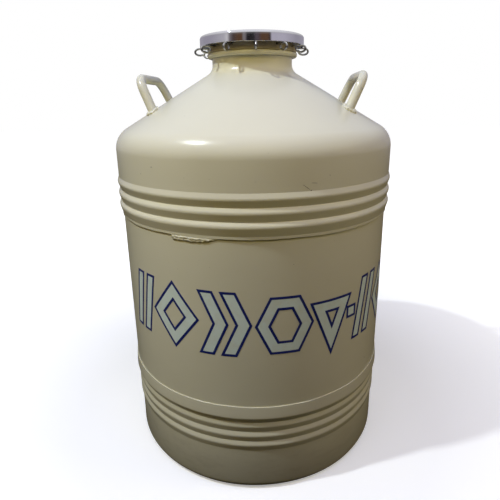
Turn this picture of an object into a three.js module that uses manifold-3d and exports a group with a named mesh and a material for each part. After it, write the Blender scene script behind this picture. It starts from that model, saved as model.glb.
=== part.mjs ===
// Liquid nitrogen dewar: an aluminium storage flask with a vacuum jacket and twelve hanging
// canisters. Millimetres, +Z up. The origin is the centre of the foot ring on the floor, and
// the two lifting handles lie on the X axis.
import * as THREE from "three";
import { mergeVertices } from "three/addons/utils/BufferGeometryUtils.js";
import Module from "manifold-3d";

const wasm = await Module();
wasm.setup();

// ---------------------------------------------------------------- driving dimensions

const GAP = 0.3; // clearance kept between two pieces that touch

// Outer case: base pan, rolled band and domed top, lap-welded into one jacket.
const WALL = 2.5;
const FOOT = { inner: 196, recess: 14, slope: 10, fillet: 13 };
const BASE = { radius: 228, ribStart: 76.5, ribPitch: 17.6, crest: 232.2, lipTop: 158.8 };
const BAND = { radius: 230, bottom: 147.1, top: 436 };
const LIP = { radius: 231.8, lap: 12, rise: 8 };
const TOP = { lipBottom: 423.5, ribStart: 428, ribPitch: 19.6, crest: 236.6, shoulder: 233 };
const RIBS = { count: 3, crestAt: 0.6, fillet: 8 }; // in each of the two groups
const KNEE = { height: 549.5, fillet: 37.5 };
const CONE_SLOPE = THREE.MathUtils.degToRad(30.8);
const COLLAR = { radius: 66.75, top: 668.7, fillet: 18 }; // the cone's short upright neck

// Neck: a thin insulating tube that alone carries the inner vessel, and the trim on top of it.
const NECK = { bore: 60, wall: 2, bottom: 455, top: 676.5 };
const FLANGE = { radius: 75, bottom: 669 };
const INDEX_RING = { bore: 64.5, foot: 74, crown: 69, bottom: 676.8, top: 690, notchFloor: 683.2 };
const NOTCH_WIDTH = 5;

// Inner vessel: two thin pressings, joined at mid height.
const VESSEL = { radius: 170, wall: 1.6, bottom: 62, bowl: 45, joint: 250, shoulder: 405, crown: 452 };
const STUB = { radius: 64.3, top: 480 };
const WRAP = { radius: 184, thickness: 10, bottom: 36, shoulder: 414, crown: 468, mouth: 68 };
const GETTER = { radius: 55, bottom: 48 };

// Canisters: each hangs by a wire whose eye hooks over the rim of the neck.
const CANISTERS = 12;
const FIRST_CANISTER = THREE.MathUtils.degToRad(7.5);
const CUP = { circle: 77, radius: 19, wall: 0.8, bottom: 74.5, top: 195 };
const WIRE = { radius: 1.25, circle: 56.4, foot: 90, shelf: 684.8, bend: 8 };
const EYE = { circle: 86.5, halfLength: 8, halfHeight: 5, turn: THREE.MathUtils.degToRad(282) };
const SPIDER = { radius: 68, hub: 22, bottom: 67.8, top: 84, clearance: 0.5 };

// Lid: a polished cap with a foam plug that fills the neck.
const CAP = { radius: 86, wall: 1.5, bottom: 686.5, top: 703, fillet: 5 };
const PLATE = { radius: 84.1, thickness: 2 };
const PLUG = { radius: 52, bottom: 562, disc: 2 };
const BOLT = { radius: 4, clearance: 0.4, head: 7.5, headHeight: 5, nutHeight: 6.5, bottom: 549 };

// Lifting handles: round bar bent into a U, leaning outwards, welded to the cone.
const HANDLE = { bar: 7.3, foot: 158, halfFoot: 71, halfTop: 62, rise: 48, bend: 26, buried: 14 };
const HANDLE_LEAN = THREE.MathUtils.degToRad(24);

// Evacuation port on the back of the cone.
const PORT = { circle: 150, radius: 11, bore: 8, height: 18, hole: 6, buried: 8 };
const PORT_PLUG = { radius: 7.7, bottom: 3, grip: 4 };
const PORT_CAP = { radius: 14.5, wall: 3.2, skirt: 8 };

const ROUND = 36; // sides of the large turned pieces
const MIDDLING = 24; // sides of the neck, vessel and lid pieces
const SMALL = 12; // sides of the cups, ports and pins

// ---------------------------------------------------------------- outlines

// Rounds the corner of an outline: [x, y, radius, steps] between the points before and after.
function roundedCorner(before, corner, after) {
  const [x, y, radius = 0, steps = 3] = corner;
  const point = new THREE.Vector2(x, y);
  if (!radius) return [point];
  const back = new THREE.Vector2(before[0] - x, before[1] - y).normalize();
  const ahead = new THREE.Vector2(after[0] - x, after[1] - y).normalize();
  const half = Math.acos(THREE.MathUtils.clamp(back.dot(ahead), -1, 1)) / 2;
  const middle = back.clone().add(ahead).normalize();
  const centre = point.clone().addScaledVector(middle, radius / Math.sin(half));
  const start = point.clone().addScaledVector(back, radius / Math.tan(half)).sub(centre);
  const end = point.clone().addScaledVector(ahead, radius / Math.tan(half)).sub(centre);
  const turn = Math.atan2(start.cross(end), start.dot(end));
  return Array.from({ length: steps + 1 }, (_, i) =>
    start.clone().rotateAround(new THREE.Vector2(), (turn * i) / steps).add(centre)
  );
}

// The points of an open path whose corners may carry a radius.
function roundedPath(corners) {
  return corners.flatMap((corner, i) =>
    i === 0 || i === corners.length - 1
      ? [new THREE.Vector2(corner[0], corner[1])]
      : roundedCorner(corners[i - 1], corner, corners[i + 1])
  );
}

// The same path moved a distance to its left, with its corner radii to match.
function offsetPath(corners, distance) {
  const points = corners.map(([x, y]) => new THREE.Vector2(x, y));
  const headings = points.slice(1).map((point, i) => point.clone().sub(points[i]).normalize());
  return corners.map(([, , radius = 0, steps], i) => {
    const before = headings[Math.max(i - 1, 0)];
    const after = headings[Math.min(i, headings.length - 1)];
    const bisector = before.clone().add(after).normalize();
    const left = new THREE.Vector2(-bisector.y, bisector.x);
    const shifted = points[i].clone().addScaledVector(left, distance / bisector.dot(after));
    const towardsBend = Math.sign(before.cross(after)) * distance;
    return [shifted.x, shifted.y, radius && Math.max(radius - towardsBend, 0.5), steps];
  });
}

// Rolled ribs, as corners from the bottom up: sharp grooves with a rounded crest between them,
// a little nearer to the upper groove.
function ribs({ ribStart, ribPitch, crest }, groove) {
  const rib = (_, i) => [
    [groove, ribStart + i * ribPitch],
    [crest, ribStart + (i + RIBS.crestAt) * ribPitch, RIBS.fillet, 2],
  ];
  const top = [groove, ribStart + RIBS.count * ribPitch];
  return [...Array.from({ length: RIBS.count }, rib).flat(), top];
}

const at = (x, y) => new THREE.Vector2(x, y);

// Height of the cone's outer face at a radius, moved out of the metal by a clearance.
function coneHeight(radius, clearance = 0) {
  const rise = (TOP.shoulder - radius) * Math.tan(CONE_SLOPE);
  return KNEE.height + rise + clearance / Math.cos(CONE_SLOPE);
}

// ---------------------------------------------------------------- shapes

// A turned piece: the outline (radius, height) runs anticlockwise and closes on itself, or
// starts and ends on the axis.
function turned(outline, sides = ROUND) {
  const onAxis = outline[0].x === 0 && outline.at(-1).x === 0;
  const points = onAxis ? outline : [...outline, outline[0].clone()];
  return new THREE.LatheGeometry(points, sides).rotateX(Math.PI / 2);
}

// A turned shell: an outer path of corners and the same path one wall thickness inside it.
function turnedShell(corners, thickness, sides) {
  const inside = roundedPath(offsetPath(corners, thickness)).reverse();
  return turned([...roundedPath(corners), ...inside], sides);
}

// A plain ring, tube or disc.
function ring(outer, inner, bottom, top, sides) {
  const outline = [at(inner, bottom), at(outer, bottom), at(outer, top), at(inner, top)];
  return turned(outline, sides);
}

function prism(radius, bottom, top, sides) {
  const height = top - bottom;
  return new THREE.CylinderGeometry(radius, radius, height, sides)
    .rotateX(Math.PI / 2)
    .translate(0, 0, (bottom + top) / 2);
}

// A bar or wire bent in the XZ plane: a section stands at each point of the path, square to
// the bisector of the runs that meet there.
class BentPath extends THREE.Curve {
  constructor(path) {
    super();
    this.points = path.map((point) => new THREE.Vector3(point.x, 0, point.y));
  }
  getUtoTmapping(u) {
    return u;
  }
  getPoint(t) {
    return this.points[Math.round(t * (this.points.length - 1))].clone();
  }
  getTangent(t) {
    const last = this.points.length - 1;
    const here = Math.round(t * last);
    const runs = [here - 1, here]
      .filter((i) => i >= 0 && i < last)
      .map((i) => this.points[i + 1].clone().sub(this.points[i]).normalize());
    return runs.reduce((sum, run) => sum.add(run), new THREE.Vector3()).normalize();
  }
}

function bentBar(path, radius, sides) {
  const section = new THREE.Shape(
    Array.from({ length: sides }, (_, i) =>
      at(radius, 0).rotateAround(at(0, 0), (2 * Math.PI * (i + 0.5)) / sides)
    )
  );
  return new THREE.ExtrudeGeometry(section, {
    extrudePath: new BentPath(path),
    steps: path.length - 1,
    bevelEnabled: false,
  });
}

// ---------------------------------------------------------------- booleans

function solid(geometry) {
  const bare = new THREE.BufferGeometry();
  bare.setAttribute("position", geometry.getAttribute("position"));
  bare.setIndex(geometry.getIndex());
  const merged = mergeVertices(bare, 1e-4);
  const vertProperties = new Float32Array(merged.getAttribute("position").array);
  const triVerts = new Uint32Array(merged.getIndex().array);
  return new wasm.Manifold(new wasm.Mesh({ numProp: 3, vertProperties, triVerts }));
}

function geometryOf(manifold) {
  const { vertProperties, triVerts } = manifold.getMesh();
  return new THREE.BufferGeometry()
    .setAttribute("position", new THREE.BufferAttribute(vertProperties, 3))
    .setIndex(new THREE.BufferAttribute(triVerts, 1));
}

const cut = (piece, ...tools) =>
  geometryOf(tools.reduce((rest, tool) => rest.subtract(solid(tool)), solid(piece)));
const join = (...pieces) =>
  geometryOf(pieces.map(solid).reduce((sum, piece) => sum.add(piece)));

// ---------------------------------------------------------------- materials

const finish = (color, roughness, metalness) =>
  new THREE.MeshStandardMaterial({ color, roughness, metalness });
const MATERIALS = {
  enamel: () => finish(0xdcd9c6, 0.25, 0.1),
  aluminium: () => finish(0xb8bbc0, 0.4, 0.9),
  polished: () => finish(0xc9c8d2, 0.08, 1),
  steel: () => finish(0x9a9a98, 0.3, 0.95),
  resin: () => finish(0xc7b27a, 0.5, 0),
  foam: () => finish(0xefece0, 0.9, 0),
  foil: () => finish(0xd9dbe0, 0.2, 0.9),
  charcoal: () => finish(0x2f2f30, 0.9, 0),
  rubber: () => finish(0x252527, 0.7, 0),
};

const dewar = new THREE.Group();

function add(name, material, geometry) {
  const mesh = new THREE.Mesh(geometry, MATERIALS[material]());
  mesh.name = name;
  dewar.add(mesh);
  return mesh;
}

// ---------------------------------------------------------------- outer case

function baseShell() {
  const floor = [
    [0, FOOT.recess],
    [FOOT.inner - FOOT.slope, FOOT.recess, 6, 2],
    [FOOT.inner, 0, 3, 1],
    [BASE.radius, 0, FOOT.fillet, 3],
    [BASE.radius, BAND.bottom - GAP],
  ];
  const lip = [
    [LIP.radius, BASE.ribStart + RIBS.count * BASE.ribPitch + LIP.rise],
    [LIP.radius, BASE.lipTop],
    [BAND.radius + GAP, BASE.lipTop],
    [BAND.radius + GAP, BASE.lipTop - LIP.lap],
  ];
  const outside = roundedPath([...floor.slice(0, -1), ...ribs(BASE, BASE.radius), ...lip]);
  const inside = roundedPath(offsetPath(floor, WALL)).reverse();
  return turned([...outside, ...inside]);
}

function topShell() {
  const dome = [
    [TOP.shoulder, BAND.top + GAP],
    [TOP.shoulder, KNEE.height, KNEE.fillet, 4],
    [COLLAR.radius, coneHeight(COLLAR.radius), COLLAR.fillet, 3],
    [COLLAR.radius, COLLAR.top],
  ];
  const lip = [
    [BAND.radius + GAP, BAND.top + GAP],
    [BAND.radius + GAP, TOP.lipBottom],
    [LIP.radius, TOP.lipBottom],
  ];
  const shoulder = [TOP.shoulder, TOP.ribStart + RIBS.count * TOP.ribPitch + LIP.rise];
  const outside = roundedPath([...lip, ...ribs(TOP, LIP.radius), shoulder, ...dome.slice(1)]);
  const inside = roundedPath(offsetPath(dome, WALL)).reverse();
  return cut(turned([...outside, ...inside]), onCone(portHole()));
}

// A solid that fills the cone and everything below it, up to the gap over its outer face.
function coneBody() {
  const wide = TOP.shoulder + 10;
  return turned([
    at(0, KNEE.height - 100),
    at(wide, KNEE.height - 100),
    at(wide, coneHeight(wide, GAP)),
    at(0, coneHeight(0, GAP)),
  ]);
}

add("base_shell", "enamel", baseShell());
add("body_band", "enamel", ring(BAND.radius, BAND.radius - WALL, BAND.bottom, BAND.top, ROUND));

// ---------------------------------------------------------------- evacuation port

// Stands a piece made round the Z axis square on the back of the cone.
function onCone(geometry) {
  return geometry
    .rotateX(-CONE_SLOPE)
    .translate(0, PORT.circle, coneHeight(PORT.circle));
}

function portHole() {
  return prism(PORT.hole, -3 * WALL, 3 * WALL, SMALL);
}

function portPlug() {
  const stem = prism(PORT_PLUG.radius, PORT_PLUG.bottom, PORT.height - 1, SMALL);
  const grip = prism(PORT_PLUG.radius / 2, PORT.height - 2, PORT.height + PORT_PLUG.grip, SMALL);
  return join(stem, grip);
}

function portCap() {
  const inside = PORT_CAP.radius - PORT_CAP.wall;
  const ceiling = PORT.height + PORT_PLUG.grip + 1;
  const outline = [
    [0, ceiling],
    [inside, ceiling],
    [inside, PORT_CAP.skirt],
    [PORT_CAP.radius, PORT_CAP.skirt],
    [PORT_CAP.radius, ceiling + 3, 3, 2],
    [0, ceiling + 3],
  ];
  return turned(roundedPath(outline), SMALL + 4);
}

add("top_shell", "enamel", topShell());
const portTube = ring(PORT.radius, PORT.bore, -PORT.buried, PORT.height, SMALL + 4);
add("evacuation_port", "enamel", cut(onCone(portTube), coneBody()));
add("evacuation_plug", "rubber", onCone(portPlug()));
add("evacuation_cap", "rubber", onCone(portCap()));

// ---------------------------------------------------------------- lifting handles

function liftingHandle() {
  const fall = HANDLE.buried / HANDLE.rise;
  const flare = (HANDLE.halfFoot - HANDLE.halfTop) * fall;
  const path = roundedPath([
    [-HANDLE.halfFoot - flare, -HANDLE.buried],
    [-HANDLE.halfTop, HANDLE.rise, HANDLE.bend, 5],
    [HANDLE.halfTop, HANDLE.rise, HANDLE.bend, 5],
    [HANDLE.halfFoot + flare, -HANDLE.buried],
  ]);
  return bentBar(path, HANDLE.bar, 12)
    .rotateZ(Math.PI / 2)
    .rotateY(HANDLE_LEAN)
    .translate(HANDLE.foot, 0, coneHeight(HANDLE.foot));
}

for (const [side, turn] of [["right", 0], ["left", Math.PI]]) {
  const bar = cut(liftingHandle().rotateZ(turn), coneBody());
  add(`lifting_handle_${side}`, "enamel", bar);
}

// ---------------------------------------------------------------- neck

function canisterAngle(index) {
  return FIRST_CANISTER + (2 * Math.PI * index) / CANISTERS;
}

function neckFlange() {
  const bore = NECK.bore + NECK.wall + GAP;
  const rim = roundedPath([
    [bore, FLANGE.bottom],
    [FLANGE.radius, FLANGE.bottom, 3, 2],
    [FLANGE.radius, NECK.top, 2, 2],
    [bore, NECK.top],
  ]);
  return turned(rim, MIDDLING);
}

// The collar whose notches space the canister wires round the rim.
function indexRing() {
  const collar = turned([
    at(INDEX_RING.bore, INDEX_RING.bottom),
    at(INDEX_RING.foot, INDEX_RING.bottom),
    at(INDEX_RING.crown, INDEX_RING.top),
    at(INDEX_RING.bore, INDEX_RING.top),
  ], MIDDLING);
  const depth = 2 * (INDEX_RING.top - INDEX_RING.notchFloor);
  const notches = Array.from({ length: CANISTERS }, (_, i) =>
    new THREE.BoxGeometry(30, NOTCH_WIDTH, depth)
      .translate(INDEX_RING.foot, 0, INDEX_RING.notchFloor + depth / 2)
      .rotateZ(canisterAngle(i))
  );
  return cut(collar, ...notches);
}

add("neck_flange", "enamel", neckFlange());
add("index_ring", "enamel", indexRing());
add("neck_tube", "resin", ring(NECK.bore + NECK.wall, NECK.bore, NECK.bottom, NECK.top, MIDDLING));

// ---------------------------------------------------------------- inner vessel

// The bowl of the inner vessel's floor, from the axis out to the cylinder.
function bowl(inset, steps = 6) {
  const depth = VESSEL.bowl - inset;
  return Array.from({ length: steps + 1 }, (_, i) => {
    const angle = (Math.PI * i) / (2 * steps);
    const height = VESSEL.bottom + VESSEL.bowl - depth * Math.cos(angle);
    return at((VESSEL.radius - inset) * Math.sin(angle), height);
  });
}

function vesselBottom() {
  const outside = [...bowl(0), at(VESSEL.radius, VESSEL.joint)];
  const inside = [...bowl(VESSEL.wall), at(VESSEL.radius - VESSEL.wall, VESSEL.joint)];
  return turned([...outside, ...inside.reverse()], MIDDLING);
}

function vesselTop() {
  const corners = [
    [VESSEL.radius, VESSEL.joint + GAP],
    [VESSEL.radius, VESSEL.shoulder, 30, 3],
    [STUB.radius, VESSEL.crown, 6, 2],
    [STUB.radius, STUB.top],
  ];
  return turnedShell(corners, VESSEL.wall, MIDDLING);
}

// Many layers of foil and paper, as one blanket round the inner vessel.
function wrap() {
  const corners = [
    [0, WRAP.bottom],
    [WRAP.radius, WRAP.bottom, 30, 3],
    [WRAP.radius, WRAP.shoulder, 30, 3],
    [WRAP.mouth + WRAP.thickness, WRAP.crown],
  ];
  return turnedShell(corners, WRAP.thickness, MIDDLING);
}

// The adsorbent tray under the vessel's floor, its top dished to follow the bowl.
function getterPack() {
  const edge = GETTER.radius / VESSEL.radius;
  const rim = VESSEL.bottom + VESSEL.bowl * (1 - Math.sqrt(1 - edge * edge));
  return turned([
    at(0, GETTER.bottom),
    at(GETTER.radius, GETTER.bottom),
    at(GETTER.radius, rim - 4 * GAP),
    at(0, VESSEL.bottom - 2 * GAP),
  ], MIDDLING);
}

add("inner_vessel_bottom", "aluminium", vesselBottom());
add("inner_vessel_top", "aluminium", vesselTop());
add("superinsulation_wrap", "foil", wrap());
add("getter_pack", "charcoal", getterPack());

// ---------------------------------------------------------------- canisters

// A disc on the vessel's floor, scalloped to hold the foot of each canister in its place.
function canisterSpider() {
  const disc = ring(SPIDER.radius, SPIDER.hub, SPIDER.bottom, SPIDER.top, 2 * CANISTERS)
    .rotateZ(FIRST_CANISTER);
  const scallops = Array.from({ length: CANISTERS }, (_, i) =>
    prism(CUP.radius + SPIDER.clearance, SPIDER.bottom - 5, SPIDER.top + 5, SMALL + 4)
      .translate(CUP.circle, 0, 0)
      .rotateZ(canisterAngle(i))
  );
  return cut(disc, ...scallops);
}

function canisterCup() {
  const inside = CUP.radius - CUP.wall;
  return turned([
    at(0, CUP.bottom),
    at(CUP.radius, CUP.bottom),
    at(CUP.radius, CUP.top),
    at(inside, CUP.top),
    at(inside, CUP.bottom + CUP.wall),
    at(0, CUP.bottom + CUP.wall),
  ], SMALL).translate(CUP.circle, 0, 0);
}

// The hanging wire: up beside the cup, through the neck, over the rim and round into a long eye.
function canisterHandle() {
  const run = roundedPath([
    [WIRE.circle, WIRE.foot],
    [WIRE.circle, WIRE.shelf, WIRE.bend, 3],
    [EYE.circle, WIRE.shelf],
  ]);
  const steps = 9;
  const eye = Array.from({ length: steps }, (_, i) => {
    const angle = (EYE.turn * (i + 1)) / steps;
    const height = WIRE.shelf - EYE.halfHeight * (1 - Math.cos(angle));
    return at(EYE.circle + EYE.halfLength * Math.sin(angle), height);
  });
  return bentBar([...run, ...eye], WIRE.radius, 6);
}

add("canister_spider", "aluminium", canisterSpider());
for (let i = 0; i < CANISTERS; i += 1) {
  const number = String(i + 1).padStart(2, "0");
  add(`canister_cup_${number}`, "steel", canisterCup()).rotation.z = canisterAngle(i);
  add(`canister_handle_${number}`, "steel", canisterHandle()).rotation.z = canisterAngle(i);
}

// ---------------------------------------------------------------- lid

const plateBottom = INDEX_RING.top + GAP;
const plateTop = plateBottom + PLATE.thickness;
const discTop = PLUG.bottom - GAP;
const discBottom = discTop - PLUG.disc;
const boltBore = BOLT.radius + BOLT.clearance;
const boltHeadTop = plateTop + GAP + BOLT.headHeight;

function lidCap() {
  const corners = [
    [CAP.radius, CAP.bottom],
    [CAP.radius, CAP.top, CAP.fillet, 3],
    [0, CAP.top],
  ];
  return turnedShell(corners, CAP.wall, ROUND);
}

function plugBolt() {
  const head = prism(BOLT.head, plateTop + GAP, boltHeadTop, 6);
  const shank = prism(BOLT.radius, BOLT.bottom, plateTop + 1, SMALL);
  return join(head, shank);
}

const foamTop = CAP.top - CAP.wall - GAP;
add("lid_cap", "polished", lidCap());
add("lid_plate", "aluminium", ring(PLATE.radius, boltBore, plateBottom, plateTop, MIDDLING));
add("lid_foam", "foam", ring(PLATE.radius - 5, BOLT.head + 1, plateTop + GAP, foamTop, MIDDLING));
add("neck_plug", "foam", ring(PLUG.radius, boltBore, PLUG.bottom, plateBottom - GAP, MIDDLING));
add("plug_end_disc", "aluminium", ring(PLUG.radius, boltBore, discBottom, discTop, MIDDLING));
add("plug_bolt", "steel", plugBolt());
const nut = prism(BOLT.head, discBottom - GAP - BOLT.nutHeight, discBottom - GAP, 6);
const thread = prism(boltBore, BOLT.bottom, discBottom, SMALL);
add("plug_nut", "steel", cut(nut, thread));

export default dewar;
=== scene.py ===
"""Liquid nitrogen dewar. The CAD frame gives the places; every visible surface is made finer here.

Outlines are in millimetres, as (radius, height), and become metres when a mesh is made.
"""

import random
from math import ceil, copysign, cos, pi, radians, sin, sqrt, tan

import bmesh
import bpy
from mathutils import Matrix, Vector, noise

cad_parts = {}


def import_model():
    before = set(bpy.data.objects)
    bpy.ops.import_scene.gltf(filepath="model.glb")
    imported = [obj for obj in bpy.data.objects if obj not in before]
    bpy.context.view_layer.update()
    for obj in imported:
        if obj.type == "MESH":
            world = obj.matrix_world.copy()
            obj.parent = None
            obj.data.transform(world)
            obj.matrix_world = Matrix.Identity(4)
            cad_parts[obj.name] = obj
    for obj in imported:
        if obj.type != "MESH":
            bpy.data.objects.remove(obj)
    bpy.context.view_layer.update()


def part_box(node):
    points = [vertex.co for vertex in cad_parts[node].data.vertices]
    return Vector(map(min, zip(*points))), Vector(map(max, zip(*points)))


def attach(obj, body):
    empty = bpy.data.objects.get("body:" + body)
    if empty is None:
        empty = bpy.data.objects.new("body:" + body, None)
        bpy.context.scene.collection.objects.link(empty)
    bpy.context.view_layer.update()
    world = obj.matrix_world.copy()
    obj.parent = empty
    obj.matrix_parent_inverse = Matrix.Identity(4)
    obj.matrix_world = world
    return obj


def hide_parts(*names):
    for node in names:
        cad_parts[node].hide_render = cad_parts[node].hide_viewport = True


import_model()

MM = 0.001
TAU = 2 * pi
SHARP = 35  # degrees; an edge that turns more than this is shaded as a crease

# ---- sizes, in millimetres


def top(node):
    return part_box(node)[1] / MM


def bottom(node):
    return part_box(node)[0] / MM


def span(node):
    return bottom(node).z, top(node).z


GAP = 0.3  # between neighbouring pieces, as in the CAD
WALL = 2.5
CASE_SIDES = 288
BAND_RADIUS = top("body_band").x
BASE_RADIUS = 228
LIP_RADIUS = 231.8
SHOULDER_RADIUS = 233
LAP, LAP_HEIGHT = 12, 420
RIB_COUNT = 3
TOP_RIBS = {"start": 428, "pitch": 19.6, "crest": 235.7, "peaks": (0.7, 0.65, 0.58)}
BASE_RIBS = {"start": 76.5, "pitch": 17.6, "crest": 230.5, "peaks": (0.6, 0.6, 0.6)}
BASE_LIP_FOOT, BASE_LIP_EDGE = 232.8, 231.4
FOOT_INNER, FOOT_RECESS, FOOT_SLOPE, FOOT_FILLET = 196, 14, 10, 13
KNEE_Z, KNEE_FILLET = 549.5, 37.5
CONE_SLOPE = radians(30.8)
COLLAR_RADIUS, COLLAR_FILLET = 66.75, 18
COLLAR_TOP = bottom("neck_flange").z - GAP
NECK_BORE, LINER_RADIUS, FLANGE_RADIUS = 60, 62, 75
RING_BORE, RING_FOOT, RING_CREST = 64.5, 74, 69
NOTCH_FLOOR, NOTCH_HALF = 683.2, 2.5
INNER_WALL, INNER_DISH, INNER_SHOULDER, INNER_NECK, INNER_NECK_FOOT = 1.6, 45, 405, 64.3, 452
WRAP_RADIUS, WRAP_SHOULDER, WRAP_MOUTH, WRAP_THICKNESS = 184, 414, 78, 9
CANISTERS = 12
FIRST_CANISTER = radians(7.5)
CUP_CIRCLE, CUP_RADIUS, CUP_RIM, CUP_BORE = 77, 18.6, 19, 17.8
SPIDER_RADIUS, SPIDER_HUB, SCALLOP_RADIUS = 68, 22, 19.5
WIRE_RADIUS = 1.65
WIRE_CIRCLE, WIRE_FOOT, WIRE_SHELF, WIRE_BEND = 56.4, 90, 684.8, 8
EYE_CIRCLE, EYE_HALF_LENGTH, EYE_HALF_HEIGHT = 86.5, 8, 5
EYE_TURN = radians(290)
HANDLE_BAR, HANDLE_X, HANDLE_LEAN = 7.3, 158, radians(24)
HANDLE_HALF_FOOT, HANDLE_HALF_TOP, HANDLE_RISE, HANDLE_BEND = 71, 62, 48, 26
PORT_CIRCLE, PORT_RISE, PORT_BORE, PORT_RADIUS = 150, 18, 8, 11
STOPPER_RADIUS, STOPPER_KNOB, PORT_CAP_BORE, PORT_CAP_RADIUS = 7.7, 3.8, 11.3, 14.5
LID_SHEET, LID_EDGE, LID_FLAT = 1.5, 4.4, 60
PLATE_RADIUS, PAD_RADIUS, PAD_HOLE, PLUG_RADIUS = 84.1, 79, 8.5, 52
BOLT_HOLE, THREAD_RADIUS, THREAD_PITCH, HEX_RADIUS = 4.4, 3.9, 1.25, 7.5


def canister_angle(index):
    return FIRST_CANISTER + TAU * index / CANISTERS


def cone_height(radius, clearance=0.0):
    rise = (SHOULDER_RADIUS - radius) * tan(CONE_SLOPE)
    return KNEE_Z + rise + clearance / cos(CONE_SLOPE)

# ---- outlines

def polar(radius, angle, height=0.0):
    return Vector((radius * cos(angle), radius * sin(angle), height))


def rounded_corner(before, corner, after, turn_step):
    """The arc that replaces one corner, or the corner itself where it has no radius."""
    point = Vector(corner[:2])
    radius = corner[2] if len(corner) > 2 else 0
    if not radius:
        return [point]
    back = (Vector(before[:2]) - point).normalized()
    ahead = (Vector(after[:2]) - point).normalized()
    half = back.angle(ahead) / 2
    centre = point + (back + ahead).normalized() * (radius / sin(half))
    start = point + back * (radius / tan(half)) - centre
    turn = copysign(pi - 2 * half, back.cross(ahead) * -1)
    steps = max(2, round(abs(turn) / turn_step))
    arc = []
    for i in range(steps + 1):
        spin = Matrix.Rotation(turn * i / steps, 2)
        arc.append(centre + spin @ start)
    return arc


def rounded(corners, degrees=8):
    """An open outline whose corners (x, y, radius) become arcs, a step for so many degrees."""
    turn_step = radians(degrees)
    points = [Vector(corners[0][:2])]
    for i in range(1, len(corners) - 1):
        points += rounded_corner(corners[i - 1], corners[i], corners[i + 1], turn_step)
    return points + [Vector(corners[-1][:2])]


def mitre(before, after, distance):
    """How a corner moves when the sides that meet there move a distance to their left."""
    middle = (before + after).normalized()
    return Vector((-middle.y, middle.x)) * (distance / max(middle.dot(after), 0.3))


def shifted(corners, distance):
    """The same open outline moved a distance to its left."""
    points = [Vector(c[:2]) for c in corners]
    headings = [(b - a).normalized() for a, b in zip(points, points[1:])]
    moved = []
    for i, corner in enumerate(corners):
        before, after = headings[max(i - 1, 0)], headings[min(i, len(headings) - 1)]
        place = points[i] + mitre(before, after, distance)
        radius = corner[2] if len(corner) > 2 else 0
        if radius:
            radius = max(radius - copysign(distance, before.cross(after)), 0.5)
        moved.append((place.x, place.y, radius))
    return moved


def shell(corners, thickness):
    """The closed outline of a wall whose outer face follows the corners."""
    return rounded(corners) + rounded(shifted(corners, thickness))[::-1]


def dense(outline, step):
    """The outline with its long straight runs cut into steps."""
    points = [outline[0]]
    for start, end in zip(outline, outline[1:]):
        count = max(1, ceil((end - start).length / step))
        points += [start.lerp(end, i / count) for i in range(1, count + 1)]
    return points


def rib_corners(ribs, groove, above):
    """The grooves and crests of one group of ribs, upwards, and a last corner above them."""
    corners = []
    for i in range(RIB_COUNT):
        foot = ribs["start"] + i * ribs["pitch"]
        corners.append((groove, foot, 1.2))
        corners.append((ribs["crest"], foot + ribs["peaks"][i] * ribs["pitch"], 7.5))
    return corners + [(above, ribs["start"] + RIB_COUNT * ribs["pitch"], 0.8)]


def ring(outer, inner, low, high, edge=0.4):
    """The closed outline of a plain ring. It starts half way up the bore."""
    return rounded([
        (inner, (low + high) / 2), (inner, low, edge), (outer, low, edge),
        (outer, high, edge), (inner, high, edge), (inner, (low + high) / 2),
    ], 30)[:-1]

# ---- meshes

def band(low, high, count):
    """The faces between two rings of points, whose first points are low and high."""
    return [(low + k, low + (k + 1) % count, high + (k + 1) % count, high + k)
            for k in range(count)]


def placed(name, data):
    """A new object, put in the scene."""
    piece = bpy.data.objects.new(name, data)
    bpy.context.scene.collection.objects.link(piece)
    return piece


def smooth(mesh, sharp=SHARP):
    mesh.shade_smooth()
    mesh.set_sharp_from_angle(angle=radians(sharp))


def joined(work):
    """Merges points at one place, and turns the faces outwards."""
    bmesh.ops.remove_doubles(work, verts=work.verts, dist=1e-7)
    bmesh.ops.recalc_face_normals(work, faces=work.faces)


def used_up(name, work):
    """The object made of a bmesh, which is freed."""
    mesh = bpy.data.meshes.new(name)
    work.to_mesh(mesh)
    work.free()
    return placed(name, mesh)


def mesh_piece(name, verts, faces, sharp=SHARP):
    mesh = bpy.data.meshes.new(name)
    mesh.from_pydata([Vector(v) * MM for v in verts], [], faces)
    work = bmesh.new()
    work.from_mesh(mesh)
    joined(work)
    work.to_mesh(mesh)
    work.free()
    smooth(mesh, sharp)
    return placed(name, mesh)


def turned(name, outline, sides, stray=None, sharp=SHARP):
    """An outline turned round Z. stray(angle, radius, height) moves each point a little."""
    verts, rows = [], []
    for radius, height in outline:
        if radius < 1e-6:
            rows.append([len(verts)] * sides)
            verts.append((0, 0, height))
            continue
        rows.append(list(range(len(verts), len(verts) + sides)))
        for k in range(sides):
            angle = TAU * k / sides
            out, up = stray(angle, radius, height) if stray else (0, 0)
            verts.append(polar(radius + out, angle, height + up))
    if outline[0][0] > 1e-6 or outline[-1][0] > 1e-6:
        rows.append(rows[0])
    faces = []
    for low, high in zip(rows, rows[1:]):
        for k in range(sides):
            n = (k + 1) % sides
            corners = [low[k], low[n], high[n], high[k]]
            face = [v for i, v in enumerate(corners) if v != corners[i - 1]]
            if len(face) > 2:
                faces.append(face)
    return mesh_piece(name, verts, faces, sharp)


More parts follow.
